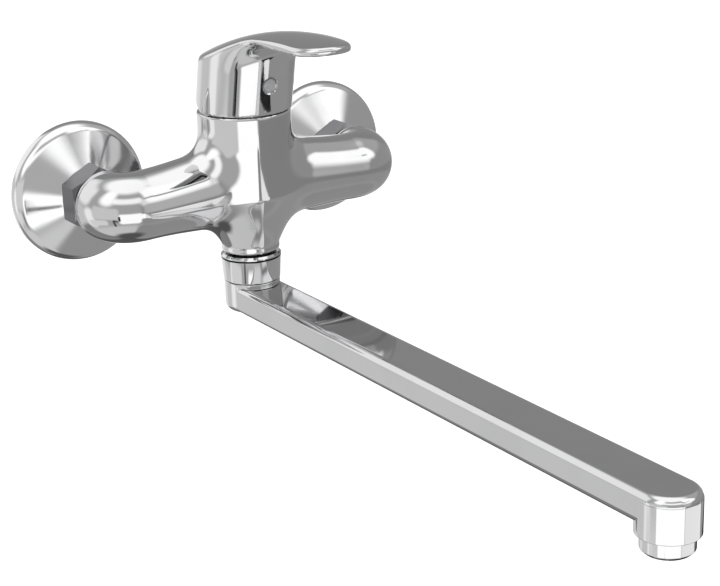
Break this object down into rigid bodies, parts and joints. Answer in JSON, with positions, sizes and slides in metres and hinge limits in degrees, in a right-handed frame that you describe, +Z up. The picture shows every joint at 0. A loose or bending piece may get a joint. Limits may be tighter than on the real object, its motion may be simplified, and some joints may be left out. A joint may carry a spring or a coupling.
{
  "type": "wall-mounted sink mixer",
  "caption": "Chrome wall-mounted sink mixer: one arched lever on top of the barrel, curved arms to domed wall plates, and a long flat swivel spout with an aerator.",
  "frame": {"origin": "on the finished wall, midway between the two wall threads", "axes": "+X to the right for someone facing the wall, +Y into the wall so that -Y points out of it, +Z up"},
  "size_m": [0.2244, 0.4058, 0.1689],
  "materials": {
    "body": "polished",
    "inlet_nipple_left": "polished",
    "inlet_nipple_right": "polished",
    "union_nut_left": "polished",
    "union_nut_right": "polished",
    "inlet_washer_left": "matte",
    "inlet_washer_right": "matte",
    "eccentric_union_left": "machined",
    "eccentric_union_right": "machined",
    "escutcheon_left": "polished",
    "escutcheon_right": "polished",
    "cartridge_base": "moulded",
    "port_seals": "matte",
    "fixed_disc": "lapped",
    "moving_disc": "lapped",
    "disc_carrier": "moulded",
    "cartridge_housing": "moulded",
    "stem_guide": "moulded",
    "pivot_pin": "ground",
    "stem": "machined",
    "retaining_nut": "machined",
    "dome_cover": "polished",
    "handle": "polished",
    "handle_screw": "machined",
    "index_plug": "glossy",
    "spout": "polished",
    "spout_nut": "polished",
    "slip_ring": "moulded",
    "spout_o_rings": "matte",
    "aerator_shell": "polished",
    "aerator_insert": "moulded",
    "aerator_washer": "matte"
  },
  "bodies": {
    "mixer": {"body": "body", "inlet_nipple_left": "inlet_nipple_left", "inlet_nipple_right": "inlet_nipple_right", "union_nut_left": "union_nut_left", "union_nut_right": "union_nut_right", "inlet_washer_left": "inlet_washer_left", "inlet_washer_right": "inlet_washer_right", "eccentric_union_left": "eccentric_union_left", "eccentric_union_right": "eccentric_union_right", "escutcheon_left": "escutcheon_left", "escutcheon_right": "escutcheon_right", "cartridge_base": "cartridge_base", "port_seals": "port_seals", "fixed_disc": "fixed_disc", "cartridge_housing": "cartridge_housing", "retaining_nut": "retaining_nut", "dome_cover": "dome_cover", "spout_nut": "spout_nut"},
    "temperature": {"stem_guide": "stem_guide", "pivot_pin": "pivot_pin"},
    "lever": {"handle": "handle", "handle_screw": "handle_screw", "index_plug": "index_plug", "stem": "stem"},
    "disc": {"moving_disc": "moving_disc", "disc_carrier": "disc_carrier"},
    "swivel_spout": {"spout": "spout", "slip_ring": "slip_ring", "spout_o_rings": "spout_o_rings", "aerator_shell": "aerator_shell", "aerator_insert": "aerator_insert", "aerator_washer": "aerator_washer"}
  },
  "joints": [
    {"name": "temperature_turn", "type": "hinge", "parent": "mixer", "child": "temperature", "pos_m": [0, -0.05, 0.0315], "axis": [0, 0, 1], "range_deg": [-45, 45]},
    {"name": "lever_lift", "type": "hinge", "parent": "temperature", "child": "lever", "pos_m": [0, -0.05, 0.0315], "axis": [-1, 0, 0], "range_deg": [0, 25]},
    {"name": "disc_slide", "type": "slide", "parent": "temperature", "child": "disc", "axis": [0, -1, 0], "range_m": [0, 0.00563]},
    {"name": "spout_swing", "type": "hinge", "parent": "mixer", "child": "swivel_spout", "pos_m": [0, -0.05, -0.06], "axis": [0, 0, 1], "range_deg": [-95, 95]}
  ],
  "couplings": [
    {"joint": "disc_slide", "follows": "lever_lift", "m_per_rad": 0.012897}
  ]
}
